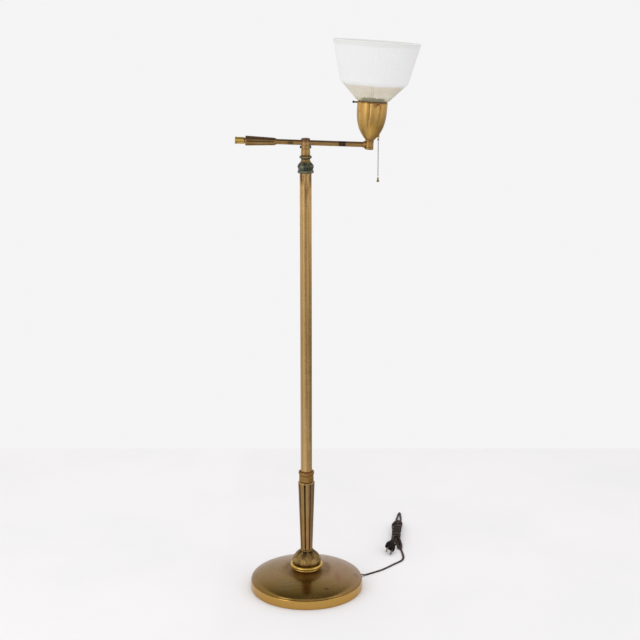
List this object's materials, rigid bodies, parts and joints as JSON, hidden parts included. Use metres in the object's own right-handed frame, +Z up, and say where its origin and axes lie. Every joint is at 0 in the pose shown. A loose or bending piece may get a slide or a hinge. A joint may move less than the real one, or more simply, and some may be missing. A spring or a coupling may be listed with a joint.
{
  "type": "pharmacy floor lamp",
  "caption": "Brass floor lamp with a domed weighted base, reeded column, slim post and a swinging arm carrying a lobed cup and a flared white glass bowl.",
  "frame": {"origin": "centre of the felt under the base, on the floor", "axes": "+Z up along the post; +X along the arm towards the glass; +Y away from a viewer who has the glass on the right"},
  "size_m": [0.3955, 0.5747, 1.2276],
  "materials": {
    "post_brass": "satin lacquered brass, aged brown",
    "base_brass": "spun brass, brown satin patina",
    "bright_brass": "polished brass, bright gold",
    "cup_brass": "satin golden brass with brown in the valleys",
    "arm_brass": "aged brass with dark tarnish",
    "dark_bronze": "cast brass, dark brown patina with rubbed highlights",
    "verdigris": "cast brass, grey-green verdigris",
    "steel": "plated steel",
    "chain_metal": "tarnished nickel ball chain",
    "black_steel": "blackened steel",
    "copper": "coppery worn brass",
    "cast_iron": "rough black casting",
    "felt": "green felt",
    "shade_glass": "white ribbed glass, clearer and cream on the cone",
    "bulb_white": "white coated bulb",
    "porcelain": "glazed porcelain",
    "fibre": "brown insulating board",
    "cord": "brown vinyl twin cord",
    "plug_black": "black moulded"
  },
  "bodies": {
    "stand": {"felt_pad": "felt", "base_weight": "cast_iron", "base_shell": "base_brass", "base_nut": "steel", "base_washer": "steel", "cord_bushing": "plug_black", "base_lead": "cord", "base_ring": "bright_brass", "acanthus_bell": "dark_bronze", "reeded_column": "arm_brass", "column_collar": "cup_brass", "post_tube": "post_brass", "stem_pipe": "steel", "stand_wire": "cord", "top_cap": "verdigris", "swivel_spindle": "steel", "swivel_washer": "steel", "swivel_nut": "steel", "cord_run": "cord", "cord_hank": "cord", "plug_body": "plug_black", "plug_blade_left": "steel", "plug_blade_right": "steel"},
    "arm": {"swivel_sleeve": "arm_brass", "tee_body": "arm_brass", "cross_screw_left": "black_steel", "cross_screw_right": "black_steel", "arm_tube": "arm_brass", "rear_tube": "arm_brass", "handle_grip": "arm_brass", "end_knob": "bright_brass", "arm_wire": "cord", "elbow": "cup_brass", "cup_nipple": "steel", "tulip_cup": "cup_brass", "cup_locknut": "steel", "socket_cap": "bright_brass", "switch_block": "porcelain", "socket_shell": "bright_brass", "socket_liner": "fibre", "screw_shell": "copper", "centre_contact": "copper", "bulb_cap": "steel", "bulb_glass": "bulb_white", "glass_shade": "shade_glass", "chain_guide": "cup_brass"},
    "screw_left": {"thumbscrew_left": "black_steel"},
    "screw_front": {"thumbscrew_front": "copper"},
    "screw_rear": {"thumbscrew_rear": "black_steel"},
    "switch_pull": {"pull_link": "steel"},
    "chain_top": {"chain_connector": "chain_metal"},
    "chain": {"pull_chain": "chain_metal", "chain_bell": "dark_bronze"}
  },
  "joints": [
    {"name": "arm_swivel", "type": "hinge", "parent": "stand", "child": "arm", "pos_m": [0, 0, 1.0111], "axis": [0, 0, 1], "range_deg": [-170, 170]},
    {"name": "screw_left_out", "type": "slide", "parent": "arm", "child": "screw_left", "axis": [-0.988, 0.1392, 0.0674], "range_m": [0, 0.004]},
    {"name": "screw_front_out", "type": "slide", "parent": "arm", "child": "screw_front", "axis": [0.3737, -0.9272, -0.0255], "range_m": [0, 0.004]},
    {"name": "screw_rear_out", "type": "slide", "parent": "arm", "child": "screw_rear", "axis": [0.6142, 0.788, -0.0419], "range_m": [0, 0.004]},
    {"name": "switch_pull_down", "type": "slide", "parent": "arm", "child": "switch_pull", "axis": [0, 0, -1], "range_m": [0, 0.007], "stiffness_N_per_m": 400},
    {"name": "chain_swing_front", "type": "hinge", "parent": "switch_pull", "child": "chain_top", "pos_m": [0.15372, 0, 1.02105], "axis": [1, 0, 0], "range_deg": [-50, 50]},
    {"name": "chain_swing_side", "type": "hinge", "parent": "chain_top", "child": "chain", "pos_m": [0.15372, 0, 1.0136], "axis": [0, 1, 0], "range_deg": [-50, 12]}
  ]
}
